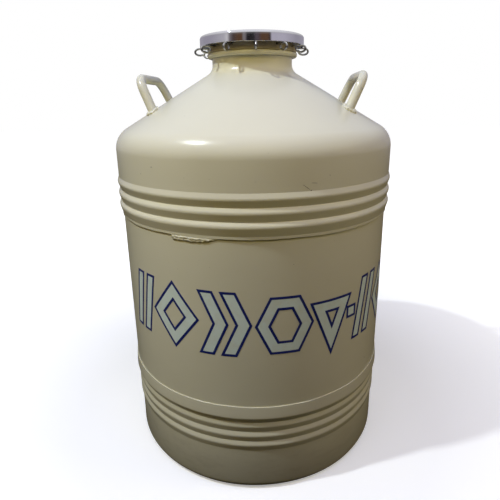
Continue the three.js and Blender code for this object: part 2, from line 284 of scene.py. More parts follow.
def tube(name, path, radius, sides, closed=False, swell=None, sharp=SHARP):
    """A round bar along a path. swell(step, angle) scales the radius at each point."""
    path = [Vector(p) for p in path]
    count = len(path)
    headings = []
    for i in range(count):
        before = path[i - 1] if closed or i else path[0]
        after = path[(i + 1) % count] if closed or i < count - 1 else path[-1]
        headings.append((after - before).normalized())
    side = headings[0].orthogonal().normalized()
    rings = []
    for i in range(count):
        if i:
            side = headings[i - 1].rotation_difference(headings[i]) @ side
        rings.append((path[i], headings[i], side.copy(), 1.0, i))
    if not closed:
        cap = [(0.45, 0.93), (0.8, 0.72), (0.97, 0.35)]  # how far out, and how wide
        start, end = rings[0], rings[-1]
        first = [(start[0] - start[1] * radius * 0.5 * a, *start[1:3], s, 0) for a, s in cap[::-1]]
        last = [(end[0] + end[1] * radius * 0.5 * a, *end[1:3], s, count - 1) for a, s in cap]
        rings = first + rings + last
    verts, faces = [], []
    for place, heading, side, scale, step in rings:
        other = heading.cross(side)
        for k in range(sides):
            angle = TAU * k / sides
            reach = radius * scale * (swell(step, angle) if swell else 1)
            verts.append(place + (side * cos(angle) + other * sin(angle)) * reach)
    last = (len(rings) - 1) * sides
    if closed:
        turn = round(rings[-1][2].angle(rings[0][2]) / TAU * sides)
        faces += [(last + k, last + (k + 1) % sides, (k + 1 - turn) % sides, (k - turn) % sides)
                  for k in range(sides)]
    else:
        faces += [list(range(sides)), list(range(last, last + sides))]
    for i in range(len(rings) - 1):
        faces += band(i * sides, (i + 1) * sides, sides)
    return mesh_piece(name, verts, faces, sharp)


def finish(piece, body, paint, *nodes):
    """Gives a piece its material and body, and hides the CAD nodes that it stands for."""
    material, slot = paint
    piece.data.materials.clear()
    piece.data.materials.append(material)
    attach(piece, body)
    if nodes:
        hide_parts(*nodes)


def part(node, outline, sides, body, paint, **settings):
    """The finer version of one CAD node, turned from an outline."""
    finish(turned(f"{node}_fine", outline, sides, **settings), body, paint, node)

# ---- materials

class Nodes:
    """A node tree, with short ways to add to it. A value may be a number, a colour or a socket."""

    def __init__(self, tree):
        self.tree = tree

    def feed(self, socket, value):
        if isinstance(value, bpy.types.NodeSocket):
            self.tree.links.new(value, socket)
        else:
            socket.default_value = (*value, 1) if socket.type == "RGBA" else value

    def add(self, kind, links=None, **settings):
        node = self.tree.nodes.new(kind)
        for key, value in settings.items():
            setattr(node, key, value)
        for key, value in (links or {}).items():
            self.feed(node.inputs[key], value)
        return node

    def mix(self, share, first, second):
        links = {0: share, 6: first, 7: second}
        return self.add("ShaderNodeMix", links, data_type="RGBA").outputs[2]

    def calc(self, operation, first, second=0.0):
        return self.add("ShaderNodeMath", {0: first, 1: second}, operation=operation).outputs[0]

    def ramp(self, value, stops):
        """A colour ramp over the given (position, colour) stops."""
        node = self.add("ShaderNodeValToRGB", {"Fac": value})
        elements = node.color_ramp.elements
        while len(elements) < len(stops):
            elements.new(0.5)
        for element, (position, colour) in zip(elements, stops):
            element.position, element.color = position, (*colour, 1)
        return node.outputs["Color"]


class Surface(Nodes):
    """A procedural material round one Principled shader."""

    def __init__(self, name, **inputs):
        self.material = bpy.data.materials.new(name)
        self.material.use_nodes = True
        super().__init__(self.material.node_tree)
        self.shader = self.tree.nodes["Principled BSDF"]
        self.place = self.add("ShaderNodeTexCoord").outputs["Object"]
        for key, value in inputs.items():
            self.shader.inputs[key.replace("_", " ")].default_value = value

    def stretched(self, scale):
        return self.add("ShaderNodeMapping", {"Vector": self.place, "Scale": scale}).outputs[0]

    def noise(self, scale, detail=4.0, roughness=0.55, place=None):
        links = {"Vector": place or self.place, "Scale": scale, "Detail": detail,
                 "Roughness": roughness}
        return self.add("ShaderNodeTexNoise", links).outputs["Fac"]

    def cells(self, scale, place=None):
        links = {"Vector": place or self.place, "Scale": scale}
        return self.add("ShaderNodeTexVoronoi", links).outputs["Distance"]

    def spread(self, value, low, high, out_low=0.0, out_high=1.0):
        links = {"Value": value, "From Min": low, "From Max": high,
                 "To Min": out_low, "To Max": out_high}
        return self.add("ShaderNodeMapRange", links).outputs["Result"]

    def height(self):
        return self.add("ShaderNodeSeparateXYZ", {"Vector": self.place}).outputs["Z"]

    def bump(self, value, distance, strength=1.0, under=None):
        links = {"Height": value, "Distance": distance, "Strength": strength}
        if under:
            links["Normal"] = under
        return self.add("ShaderNodeBump", links).outputs["Normal"]

    def drive(self, **sockets):
        for key, value in sockets.items():
            self.tree.links.new(value, self.shader.inputs[key.replace("_", " ")])
        return self.material


def enamel():
    """Sprayed cream enamel: faint orange peel, cloudy tone, dust specks, scuffs low down, and
    painted shade that darkens it towards the foot.

    Its roughness stays under 0.27, because the denoiser outlines places where it crosses that.
    """
    s = Surface("enamel", Specular_IOR_Level=0.5, Coat_Weight=0.25, Coat_Roughness=0.08)
    clouds = s.spread(s.noise(7, 3), 0.30, 0.70)
    tone = s.mix(clouds, (0.74, 0.71, 0.534), (0.718, 0.688, 0.509))
    yellow = s.spread(s.noise(9, 2, 0.4), 0.20, 0.85, 0.0, 0.14)
    tone = s.mix(yellow, tone, (0.66, 0.62, 0.43))
    specks = s.spread(s.cells(140), 0.03, 0.075, 0.75, 0.0)
    rare = s.spread(s.noise(38, 2), 0.60, 0.66)
    tone = s.mix(s.calc("MULTIPLY", specks, rare), tone, (0.2, 0.17, 0.11))
    low = s.spread(s.height(), 0.11, 0.0)
    scuffs = s.spread(s.noise(22, 8, 0.7, s.stretched((1, 1, 3))), 0.50, 0.72, 0.0, 0.45)
    tone = s.mix(s.calc("MULTIPLY", low, scuffs), tone, (0.33, 0.29, 0.2))
    # Painted shade: the enamel darkens smoothly over the lowest 90 mm, towards the floor.
    foot = s.spread(s.height(), 0.090, 0.002, 0.0, 0.7)
    tone = s.mix(foot, tone, (0.3, 0.27, 0.185))
    rough = s.spread(s.noise(12, 3, 0.5), 0.30, 0.75, 0.238, 0.268)
    peel = s.bump(s.noise(380, 2, 0.5), 0.00006, 0.5)
    waves = s.bump(s.noise(14, 1, 0.4), 0.0006, 0.15, peel)
    return s.drive(Base_Color=tone, Roughness=rough, Normal=waves)


def polished_lid():
    """Buffed metal: turning lines round the axis, fine hairlines and a few dull smears."""
    s = Surface("polished_metal", Metallic=1.0, Specular_IOR_Level=0.5)
    tone = s.mix(s.spread(s.noise(16, 4), 0.35, 0.7), (0.8, 0.79, 0.83), (0.7, 0.69, 0.73))
    smears = s.spread(s.noise(34, 7, 0.7), 0.45, 0.75, 0.055, 0.20)
    turning = s.noise(900, 2, 0.5, s.stretched((0.02, 0.02, 1.0)))
    return s.drive(Base_Color=tone, Roughness=smears, Normal=s.bump(turning, 0.00003, 0.25))


def drawn_wire():
    """Stainless wire: bright, with draw lines and a darker heat stain here and there."""
    s = Surface("stainless_wire", Metallic=1.0)
    stain = s.spread(s.noise(70, 5), 0.45, 0.7)
    tone = s.mix(stain, (0.62, 0.62, 0.61), (0.24, 0.235, 0.23))
    rough = s.spread(s.noise(260, 4), 0.3, 0.8, 0.14, 0.24)
    lines = s.bump(s.noise(1500, 2, 0.5, s.stretched((1, 1, 0.04))), 0.00004, 0.4)
    return s.drive(Base_Color=tone, Roughness=rough, Normal=lines)


def sheet_metal(name, light, dark, rough_low, rough_high):
    """Spun or rolled sheet: turning marks along the height, uneven sheen."""
    s = Surface(name, Metallic=1.0)
    tone = s.mix(s.spread(s.noise(24, 6), 0.35, 0.7), light, dark)
    turning = s.noise(340, 3, 0.6, s.stretched((0.03, 0.03, 1.0)))
    rough = s.spread(s.noise(40, 6, 0.7), 0.3, 0.75, rough_low, rough_high)
    return s.drive(Base_Color=tone, Roughness=rough, Normal=s.bump(turning, 0.00008, 0.5))


def foam():
    """Expanded bead foam: packed cells with soft edges, painted shade in the grooves between them,
    yellowed a little by age.
    """
    s = Surface("bead_foam", Roughness=0.85, Specular_IOR_Level=0.3)
    beads = s.cells(260)
    aged = s.spread(s.noise(14, 5), 0.35, 0.7)
    tone = s.mix(aged, (0.8, 0.78, 0.7), (0.7, 0.65, 0.5))
    # Painted shade: the tone darkens towards each bead's edge, in the grooves between beads.
    edges = s.spread(beads, 0.35, 0.75, 0.0, 0.35)
    tone = s.mix(edges, tone, (0.48, 0.43, 0.32))
    rounding = s.calc("SUBTRACT", 1.0, beads)
    pits = s.bump(s.noise(900, 3), 0.0002, 0.4)
    return s.drive(Base_Color=tone, Normal=s.bump(rounding, 0.0008, 0.7, pits))


def glass_resin():
    """Wound glass fibre in amber resin: crossing tows show through a semi-gloss skin."""
    s = Surface("glass_fibre_resin", Specular_IOR_Level=0.5)
    tows = s.add("ShaderNodeTexWave", {"Vector": s.place, "Scale": 120.0, "Distortion": 2.5,
                 "Detail": 2.0, "Detail Scale": 4.0}, bands_direction="DIAGONAL").outputs["Fac"]
    tone = s.mix(tows, (0.4, 0.27, 0.1), (0.55, 0.42, 0.2))
    tone = s.mix(s.spread(s.noise(18, 5), 0.4, 0.7), tone, (0.46, 0.36, 0.19))
    rough = s.spread(s.noise(60, 4), 0.3, 0.7, 0.28, 0.45)
    return s.drive(Base_Color=tone, Roughness=rough, Normal=s.bump(tows, 0.0003, 0.4))


def foil_blanket():
    """Crinkled aluminised film, wound in many layers."""
    s = Surface("crinkled_foil", Metallic=0.9)
    creases = s.cells(46, place=s.stretched((1, 1, 1.6)))
    tone = s.mix(s.spread(creases, 0.1, 0.7), (0.78, 0.79, 0.82), (0.6, 0.61, 0.65))
    rough = s.spread(s.noise(50, 5), 0.3, 0.7, 0.15, 0.4)
    fine = s.bump(s.noise(210, 5, 0.6), 0.0007, 0.5)
    return s.drive(Base_Color=tone, Roughness=rough, Normal=s.bump(creases, 0.004, 0.8, fine))


def speckled(name, light, dark, grain, rough):
    """A dull moulded or packed stuff with an even grain."""
    s = Surface(name, Specular_IOR_Level=0.35)
    tone = s.mix(s.spread(s.noise(grain, 6, 0.7), 0.35, 0.7), light, dark)
    sheen = s.spread(s.noise(grain * 0.4, 4), 0.3, 0.7, rough - 0.12, rough + 0.1)
    relief = s.bump(s.noise(grain * 2.2, 4, 0.6), 0.0003, 0.5)
    return s.drive(Base_Color=tone, Roughness=sheen, Normal=relief)


def stencil_paint(name, colour, thin):
    """Hand-laid marking paint: slightly patchy, thinner in places."""
    s = Surface(name, Specular_IOR_Level=0.5)
    patches = s.spread(s.noise(55, 6, 0.65), 0.45, 0.75)
    tone = s.mix(patches, colour, thin)
    rough = s.spread(s.noise(120, 4), 0.3, 0.7, 0.30, 0.48)
    return s.drive(Base_Color=tone, Roughness=rough, Normal=s.bump(s.noise(380), 0.0001, 0.5))


# Each material goes with the name of its slot.
ENAMEL = enamel(), "enamel"
POLISHED = polished_lid(), "polished"
WIRE = drawn_wire(), "steel"
ALUMINIUM = sheet_metal(
    "spun_aluminium", (0.66, 0.67, 0.69), (0.52, 0.53, 0.55), 0.28, 0.45), "sheet_aluminium"
STEEL = sheet_metal("turned_steel", (0.56, 0.56, 0.55), (0.4, 0.4, 0.4), 0.28, 0.38), "steel"
FOAM = foam(), "foam"
RESIN = glass_resin(), "resin"
FOIL = foil_blanket(), "foil"
CHARCOAL = speckled(
    "charcoal_pack", (0.055, 0.055, 0.057), (0.02, 0.02, 0.021), 240.0, 0.85), "charcoal"
RUBBER = speckled(
    "moulded_rubber", (0.04, 0.04, 0.042), (0.022, 0.022, 0.024), 300.0, 0.6), "rubber"
NAVY = stencil_paint("marking_navy", (0.008, 0.018, 0.15), (0.02, 0.036, 0.21)), "enamel"
PALE = stencil_paint("marking_pale", (0.74, 0.86, 0.8), (0.7, 0.76, 0.66)), "enamel"
# Cream enamel darkened to about six tenths: painted shade for the collar, which lies under the lid.
PAINTED_SHADE_ENAMEL = speckled(
    "painted_shade_enamel", (0.47, 0.4, 0.27), (0.37, 0.305, 0.195), 60.0, 0.50), "enamel"
CHIPPED = speckled(
    "chipped_enamel", (0.24, 0.22, 0.17), (0.12, 0.105, 0.08), 500.0, 0.6), "enamel"

# ---- outer case


def body_stray(angle, radius, height):
    """Rolled and spun sheet is never quite true: slow swells of a few tenths of a millimetre."""
    slow = noise.noise(polar(2.2, angle, height / 95))
    fast = noise.noise(polar(6, angle, height / 30 + 9))
    share = min(1, max(0, (radius - NECK_BORE) / 100))
    return share * (0.45 * slow + 0.12 * fast), 0.0


def lip_stray(edge):
    """The rolled shell whose lap edge, at the height edge, wanders by half a millimetre."""
    def stray(angle, radius, height):
        out, up = body_stray(angle, radius, height)
        near = max(0.0, 1 - abs(height - edge) / 5)
        wander = noise.noise(polar(5, angle, edge))
        nick = noise.noise(polar(23, angle, edge))
        return out, up + near * (0.7 * wander + 0.35 * nick)
    return stray


def base_shell():
    floor = [(0, FOOT_RECESS), (FOOT_INNER - FOOT_SLOPE, FOOT_RECESS, 6), (FOOT_INNER, 0, 3),
             (BASE_RADIUS, 0, FOOT_FILLET), (BASE_RADIUS, bottom("body_band").z - GAP)]
    lip_top = top("base_shell").z
    outer = floor[:-1] + rib_corners(BASE_RIBS, BASE_RADIUS, BASE_RADIUS + 0.7) + [
        (BASE_LIP_FOOT, BASE_RIBS["start"] + RIB_COUNT * BASE_RIBS["pitch"] + 9.5, 6),
        (BASE_LIP_EDGE, lip_top, 0.4), (BAND_RADIUS + GAP, lip_top, 0.2),
        (BAND_RADIUS + GAP, lip_top - LAP)]
    outline = rounded(outer) + rounded(shifted(floor, WALL))[::-1]
    part("base_shell", dense(outline, 7), CASE_SIDES, "vessel", ENAMEL, stray=lip_stray(lip_top))


def body_band():
    outline = dense(ring(BAND_RADIUS, BAND_RADIUS - WALL, *span("body_band")), 7)
    part("body_band", outline, CASE_SIDES, "vessel", ENAMEL, stray=body_stray)


def top_shell():
    lip_low = bottom("top_shell").z
    inner_low = top("body_band").z + GAP
    dome = [(SHOULDER_RADIUS, inner_low), (SHOULDER_RADIUS, KNEE_Z, KNEE_FILLET),
            (COLLAR_RADIUS, cone_height(COLLAR_RADIUS), COLLAR_FILLET),
            (COLLAR_RADIUS, COLLAR_TOP)]
    outer = [(BAND_RADIUS + GAP, inner_low), (BAND_RADIUS + GAP, lip_low, 0.3),
             (LIP_RADIUS, lip_low, 0.7)]
    outer += rib_corners(TOP_RIBS, LIP_RADIUS, SHOULDER_RADIUS) + dome[1:]
    outline = rounded(outer, 4) + rounded(shifted(dome, WALL))[::-1]
    part("top_shell", dense(outline, 6), CASE_SIDES, "vessel", ENAMEL, stray=lip_stray(lip_low))

# ---- handles and their welds

def handle_point(along, up):
    """A point in the right handle's leaning plane."""
    lean = Vector((sin(HANDLE_LEAN), 0, cos(HANDLE_LEAN)))
    return Vector((HANDLE_X, along, cone_height(HANDLE_X))) + lean * up


def leg_foot():
    """Where a leg's centre line meets the cone, as (along, up) in the handle's plane."""
    flare = (HANDLE_HALF_FOOT - HANDLE_HALF_TOP) / HANDLE_RISE
    up = 0.0
    while True:
        along = HANDLE_HALF_FOOT - flare * up
        point = handle_point(along, up)
        if point.z <= cone_height(point.xy.length):
            return along, up
        up -= 0.1


def lifting_handle(side, turn):
    """A bent bar whose ends are sunk a little into the cone, and its two welds."""
    along, up = leg_foot()
    end = up - 2.2
    flat = rounded([(-along, end), (-HANDLE_HALF_TOP, HANDLE_RISE, HANDLE_BEND),
                    (HANDLE_HALF_TOP, HANDLE_RISE, HANDLE_BEND), (along, end)], 5)
    path = [handle_point(p.x, p.y) for p in dense(flat, 6)]

    def swell(step, angle):
        return 1 + 0.018 * noise.noise(path[step] * 0.05 + polar(1, angle))

    bar = tube(f"handle_{side}_fine", path, HANDLE_BAR, 28, swell=swell)
    bar.rotation_euler.z = turn
    finish(bar, "vessel", ENAMEL, f"lifting_handle_{side}")
    for end, way in (("front", -1), ("back", 1)):
        bead = weld_bead(f"weld_{side}_{end}", way * (1 if turn == 0 else -1))
        bead.rotation_euler.z = turn
        finish(bead, "vessel", ENAMEL)


def weld_bead(name, way):
    """The lumpy fillet weld round the foot of a leg, laid where the bar meets the cone."""
    along, up = leg_foot()
    foot = handle_point(way * along, up)
    axis = (handle_point(way * HANDLE_HALF_TOP, HANDLE_RISE) - foot).normalized()
    first = axis.orthogonal().normalized()
    second = axis.cross(first)
    path = []
    steps, lumps = 56, 11
    for k in range(steps):
        angle = TAU * k / steps
        out = first * cos(angle) + second * sin(angle)
        place = foot + out * (HANDLE_BAR + 0.9)
        for _ in range(8):
            place -= axis * (place.z - cone_height(place.xy.length, 0.6)) * 0.7
        path.append(place)

    def swell(step, angle):
        ripple = 0.12 * sin(TAU * step / steps * lumps)
        return 1 + ripple + 0.55 * noise.noise(path[step] * 0.19 + Vector((0, 0, cos(angle))))

    return tube(name, path, 3.3, 14, closed=True, swell=swell, sharp=180)

# ---- evacuation port

def on_cone(node, outline, sides, paint, stray=None):
    """A turned piece of the evacuation port, stood square on the cone."""
    piece = turned(f"{node}_fine", outline, sides, stray)
    place = Vector((0, PORT_CIRCLE, cone_height(PORT_CIRCLE))) * MM
    piece.matrix_world = Matrix.Translation(place) @ Matrix.Rotation(-CONE_SLOPE, 4, "X")
    finish(piece, "vessel", paint, node)


def evacuation_port():
    """A stub tube, the rubber stopper in it, and a ridged cap over both."""
    stub = ring(PORT_RADIUS, PORT_BORE, -2, PORT_RISE, 0.8)
    on_cone("evacuation_port", stub, 64, ENAMEL)
    foot, brim, crown = 3, PORT_RISE - 1, PORT_RISE + 4
    stopper = [(0, foot), (STOPPER_RADIUS, foot, 1), (STOPPER_RADIUS, brim, 1),
               (STOPPER_KNOB, brim, 1), (STOPPER_KNOB, crown, 1), (0, crown)]
    on_cone("evacuation_plug", rounded(stopper, 20), 48, RUBBER)
    skirt, ceiling, roof = 8, PORT_RISE + 5, PORT_RISE + 8
    cap = [(0, ceiling), (PORT_CAP_BORE, ceiling, 1.5), (PORT_CAP_BORE, skirt, 0.4),
           (PORT_CAP_RADIUS, skirt, 0.8), (PORT_CAP_RADIUS, roof, 3), (0, roof)]

    def grip(angle, radius, z):
        ridged = skirt + 0.5 < z < ceiling + 0.5 and radius > PORT_CAP_BORE + 0.7
        return (0.35 * (cos(24 * angle) - 1) if ridged else 0), 0

    on_cone("evacuation_cap", dense(rounded(cap), 2), 192, RUBBER, grip)

# ---- neck

def neck():
    """The bead on the neck, and the resin tube that hangs the inner vessel from it."""
    bore = LINER_RADIUS + GAP
    low, high = span("neck_flange")
    bead = rounded([(bore, low), (FLANGE_RADIUS, low, 3.6), (FLANGE_RADIUS, high, 3.2),
                    (bore, high)], 10)
    part("neck_flange", bead, 160, "vessel", ENAMEL, stray=body_stray)
    wall = ring(LINER_RADIUS, NECK_BORE, bottom("neck_tube").z, high, 0.5)
    part("neck_tube", dense(wall, 12), 128, "vessel", RESIN)


def boolean_cut(piece, cutters):
    for cutter in cutters:
        tool = piece.modifiers.new("cut", "BOOLEAN")
        tool.object = cutter
        tool.solver = "EXACT"
    bpy.context.view_layer.update()
    graph = bpy.context.evaluated_depsgraph_get()
    mesh = bpy.data.meshes.new_from_object(piece.evaluated_get(graph))
    piece.modifiers.clear()
    piece.data = mesh
    for cutter in cutters:
        bpy.data.objects.remove(cutter)
    smooth(mesh)


def index_ring():
    """The conical collar, with a notch cut down into it for each wire."""
    low, high = span("index_ring")
    half_way = (low + high) / 2
    collar = turned("index_ring_fine", rounded(
        [(RING_BORE, half_way), (RING_BORE, low, 0.5), (RING_FOOT, low, 0.8),
         (RING_CREST, high, 1.2), (RING_BORE, high, 0.8), (RING_BORE, half_way)], 15)[:-1], 192)
    above = high + 6
    slot = rounded([(above, NOTCH_HALF), (NOTCH_FLOOR, NOTCH_HALF, 1.6),
                    (NOTCH_FLOOR, -NOTCH_HALF, 1.6), (above, -NOTCH_HALF)], 15)
    n = len(slot)
    verts = [(x, p.y, p.x) for x in (RING_BORE - 4.5, RING_FOOT + 4) for p in slot]
    faces = [list(range(n)), list(range(n, 2 * n))] + band(0, n, n)
    cutters = []
    for i in range(CANISTERS):
        cutter = mesh_piece(f"notch_{i}", verts, faces)
        cutter.rotation_euler.z = canister_angle(i)
        cutters.append(cutter)
    boolean_cut(collar, cutters)
    # The collar takes the darkened enamel, a painted shade from the lid above it.
    finish(collar, "vessel", PAINTED_SHADE_ENAMEL, "index_ring")

# ---- inner vessel

def bowl(wall):
    """Half of the dished floor's section, a wall's thickness in from its outside."""
    steps = 20
    radius, low = top("inner_vessel_bottom").x, bottom("inner_vessel_bottom").z
    turns = [pi / 2 * i / steps for i in range(steps + 1)]
    return [Vector(((radius - wall) * sin(a), low + INNER_DISH - (INNER_DISH - wall) * cos(a)))
            for a in turns]


def inner_vessel():
    radius, joint = top("inner_vessel_bottom").x, top("inner_vessel_bottom").z
    inside = bowl(INNER_WALL) + [Vector((radius - INNER_WALL, joint))]
    outline = bowl(0) + [Vector((radius, joint))] + inside[::-1]
    lower = turned("inner_vessel_lower_fine", outline, 144)
    finish(lower, "vessel", ALUMINIUM, "inner_vessel_bottom")
    corners = [(radius, joint + GAP), (radius, INNER_SHOULDER, 30),
               (INNER_NECK, INNER_NECK_FOOT, 6), (INNER_NECK, top("inner_vessel_top").z)]
    upper = turned("inner_vessel_upper_fine", shell(corners, INNER_WALL), 144)
    finish(upper, "vessel", ALUMINIUM, "inner_vessel_top")


def crinkle(angle, radius, height):
    return 1.1 * noise.noise(polar(9, angle, height / 17)) - 0.6, 0.0


def wrap_and_getter():
    low, mouth = span("superinsulation_wrap")
    corners = [(0, low + 1), (WRAP_RADIUS, low + 1, 30), (WRAP_RADIUS, WRAP_SHOULDER, 30),
               (WRAP_MOUTH, mouth - 1)]
    outline = dense(shell(corners, WRAP_THICKNESS), 9)
    blanket = turned("superinsulation_fine", outline, 144, crinkle, sharp=60)
    finish(blanket, "vessel", FOIL, "superinsulation_wrap")
    edge, floor, ceiling = top("getter_pack").x, *span("getter_pack")
    tray = rounded([(0, floor), (edge, floor, 3), (edge, ceiling, 1.5), (edge - 3, ceiling, 1),
                    (edge - 5, ceiling - 1.8, 1), (0, ceiling - 2.4)], 20)
    part("getter_pack", tray, 72, "vessel", CHARCOAL)

# ---- canisters

def spider():
    """The scalloped disc: an outline that follows each cup's round side."""
    low, high = span("canister_spider")
    sector, steps, bevel = TAU / CANISTERS, 26, 0.8
    outline = []
    for i in range(CANISTERS * steps):
        angle = FIRST_CANISTER + sector * i / steps
        off = (angle - FIRST_CANISTER + sector / 2) % sector - sector / 2
        near, across = CUP_CIRCLE * cos(off), CUP_CIRCLE * sin(off)
        edge = SPIDER_RADIUS
        if abs(across) < SCALLOP_RADIUS:
            edge = min(edge, near - sqrt(SCALLOP_RADIUS ** 2 - across ** 2))
        outline.append((edge, angle))
    verts, faces = [], []
    levels = [(-bevel, low), (0, low + bevel), (0, high - bevel), (-bevel, high)]
    for step_in, z in levels:
        verts += [polar(edge + step_in, angle, z) for edge, angle in outline]
    for z in (high, low):
        verts += [polar(SPIDER_HUB, angle, z) for _, angle in outline]
    n, count = len(outline), len(levels) + 2
    for i in range(count):
        faces += band(i * n, (i + 1) % count * n, n)
    disc = mesh_piece("canister_spider_fine", verts, faces)
    finish(disc, "vessel", ALUMINIUM, "canister_spider")


def cup_mesh():
    """A drawn cup with a curled rim and a rounded foot."""
    low, high = span("canister_cup_01")
    dimple, foot = 9, 11
    outline = rounded([
        (0, low + 1.2), (dimple, low + 1.2, 2), (foot, low, 2), (CUP_RADIUS, low, 3),
        (CUP_RADIUS, high - 3.2, 0.6), (CUP_RIM, high - 2.6, 0.8), (CUP_RIM, high, 0.8),
        (CUP_BORE, high, 0.6), (CUP_BORE, low + 1.2, 2.2), (foot, low + 1.0, 2),
        (dimple, low + 2.2, 2), (0, low + 2.2)], 15)
    return turned("cup", outline, 56)


def wire_path():
    """Straight up from the cup, bent outwards at the notch, and round into a long eye."""
    run = rounded([(WIRE_CIRCLE, WIRE_FOOT), (WIRE_CIRCLE, WIRE_SHELF, WIRE_BEND),
                   (EYE_CIRCLE, WIRE_SHELF)], 9)
    steps = 34
    loop = []
    for i in range(1, steps + 1):
        angle = EYE_TURN * i / steps
        loop.append(Vector((EYE_CIRCLE + EYE_HALF_LENGTH * sin(angle),
                            WIRE_SHELF - EYE_HALF_HEIGHT * (1 - cos(angle)))))
    return [Vector((p.x, 0, p.y)) for p in dense(run, 60) + loop]


def canisters():
    """Twelve cups, each with its wire and two tack welds that hold the wire to the cup."""
    cup = cup_mesh()
    wire = tube("wire", wire_path(), WIRE_RADIUS, 14)
    swells = (0.5, 0.9, 1, 0.9, 0.5)
    seam = [(WIRE_CIRCLE + 1, 0, 100 + 1.5 * i) for i in range(len(swells))]
    tack = tube("tack", seam, 1.5, 10, swell=lambda step, angle: swells[step])
    for i in range(CANISTERS):
        number = f"{i + 1:02d}"
        body = f"canister_{number}"
        spin = Matrix.Rotation(canister_angle(i), 4, "Z")
        for source, kind, shift, paint, nodes in (
            (cup, "cup", (CUP_CIRCLE, 0, 0), STEEL, [f"canister_cup_{number}"]),
            (wire, "wire", (0, 0, 0), WIRE, [f"canister_handle_{number}"]),
            (tack, "weld_low", (0, 0, 0), WIRE, []),
            (tack, "weld_high", (0, 0, 84), WIRE, []),
        ):
            piece = placed(f"canister_{kind}_{number}_fine", source.data)
            piece.matrix_world = spin @ Matrix.Translation(Vector(shift) * MM)
            finish(piece, body, paint, *nodes)
    for source in (cup, wire, tack):
        bpy.data.objects.remove(source)

# ---- lid

def foam_stray(angle, radius, height):
    """The bumps of the beads, which stay under the foam's nominal face."""
    return 0.22 * noise.noise(polar(radius, angle, height) / 2.6) - 0.2, 0.0


def lid():
    """The polished cap with its hem, and what hangs under it."""
    low, high, radius = *span("lid_cap"), top("lid_cap").x
    corners = [(radius, low), (radius, high - 0.6, LID_EDGE), (LID_FLAT, high, 200), (0, high)]
    inside = rounded(shifted(corners, LID_SHEET))[::-1]
    hem = rounded([(radius - LID_SHEET, low + 2), (radius - LID_SHEET, low, 0.6),
                   (radius, low, 0.6), (radius, low + 2)], 20)
    outline = hem + rounded(corners, 5)[1:] + inside[:-1]
    part("lid_cap", dense(outline, 4), 256, "lid", POLISHED)
    plate = ring(PLATE_RADIUS, BOLT_HOLE, *span("lid_plate"), 0.5)
    part("lid_plate", plate, 160, "lid", ALUMINIUM)
    pad = ring(PAD_RADIUS, PAD_HOLE, *span("lid_foam"), 1.0)
    part("lid_foam", pad, 96, "lid", FOAM)
    plug = ring(PLUG_RADIUS, BOLT_HOLE, *span("neck_plug"), 2.5)
    part("neck_plug", dense(plug, 2.4), 200, "lid", FOAM, stray=foam_stray)
    disc = ring(PLUG_RADIUS, BOLT_HOLE, *span("plug_end_disc"), 0.6)
    part("plug_end_disc", disc, 128, "lid", ALUMINIUM)


def hexagon(angle, radius):
    """How far a round point moves inwards to lie on a hexagon that HEX_RADIUS goes round."""
    sector = pi / 3
    off = (angle % sector) - sector / 2
    return min(0, HEX_RADIUS * cos(sector / 2) / cos(off) - radius)


def fasteners():
    """The bolt through the plug, with a hexagon head and a thread below, and its nut."""
    head_low, head_high = top("lid_plate").z + GAP, top("plug_bolt").z
    nut_low, nut_high = span("plug_nut")
    tip = bottom("plug_bolt").z
    chamfered = HEX_RADIUS - 0.9
    outline = [Vector(p) for p in (
        (0, tip), (THREAD_RADIUS - 0.7, tip), (THREAD_RADIUS, tip + 0.8),
        (THREAD_RADIUS, nut_low - 0.5), (THREAD_RADIUS, head_low), (HEX_RADIUS - 0.5, head_low),
        (HEX_RADIUS, head_low + 0.4), (HEX_RADIUS, head_high - 0.7), (chamfered, head_high),
        (0, head_high))]

    def shape(angle, r, z):
        if z >= head_low and r > 5:
            return hexagon(angle, r), 0
        if z < nut_low and r > 3.5:
            return 0.28 * sin(angle + TAU * z / THREAD_PITCH) - 0.1, 0
        return 0, 0

    part("plug_bolt", dense(outline, 0.3), 72, "lid", STEEL, stray=shape, sharp=30)
    rim = [Vector(p) for p in (
        (BOLT_HOLE, nut_low + 0.5), (BOLT_HOLE + 0.5, nut_low), (chamfered, nut_low),
        (HEX_RADIUS, nut_low + 0.7), (HEX_RADIUS, nut_high - 0.7), (chamfered, nut_high),
        (BOLT_HOLE + 0.5, nut_high), (BOLT_HOLE, nut_high - 0.5))]

    def flats(angle, r, z):
        return (hexagon(angle, r) if r > 5 else 0), 0

    part("plug_nut", dense(rim, 0.5), 72, "lid", STEEL, stray=flats, sharp=30)


# ---- markings and wear

VIEW_TURN = radians(3.8)  # the front faces this much round from -Y
STROKE, FRAME, TALL = 16, 17, 49  # a bar's width, a frame's width, half a mark's height
MARK_EDGE = 1.95  # half the width of the dark outline


def front_angle(degrees):
    """The direction that lies so many degrees to the right of the front."""
    return -pi / 2 + VIEW_TURN + radians(degrees)


def marking_height(along):
    """The band of markings was laid by eye and dips to the right."""
    return 294.5 - 0.024 * along


def inset(loop, distance):
    """A closed loop moved inwards, its corners mitred."""
    count = len(loop)
    area = sum(loop[i - 1].cross(loop[i]) for i in range(count))
    inward = distance if area > 0 else -distance
    sides = [(loop[i] - loop[i - 1]).normalized() for i in range(count)]
    return [loop[i] + mitre(sides[i], sides[(i + 1) % count], inward) for i in range(count)]


def polygon(sides, width, height, turn=0.0):
    """A loop round an oval. turn is a share of one side."""
    return [Vector((width / 2 * cos(TAU * (i + turn) / sides),
                    height / 2 * sin(TAU * (i + turn) / sides))) for i in range(sides)]


def slanted_bar(shift):
    lean, half = 10, STROKE / 2
    return [Vector(p) for p in ((shift - half - lean, -TALL), (shift + half - lean, -TALL),
                                (shift + half + lean, TALL), (shift - half + lean, TALL))]


def chevron(shift):
    return [Vector((x + shift, y)) for x, y in
            ((-20, -TALL), (0, -TALL), (22, 0), (0, TALL), (-20, TALL), (2, 0))]


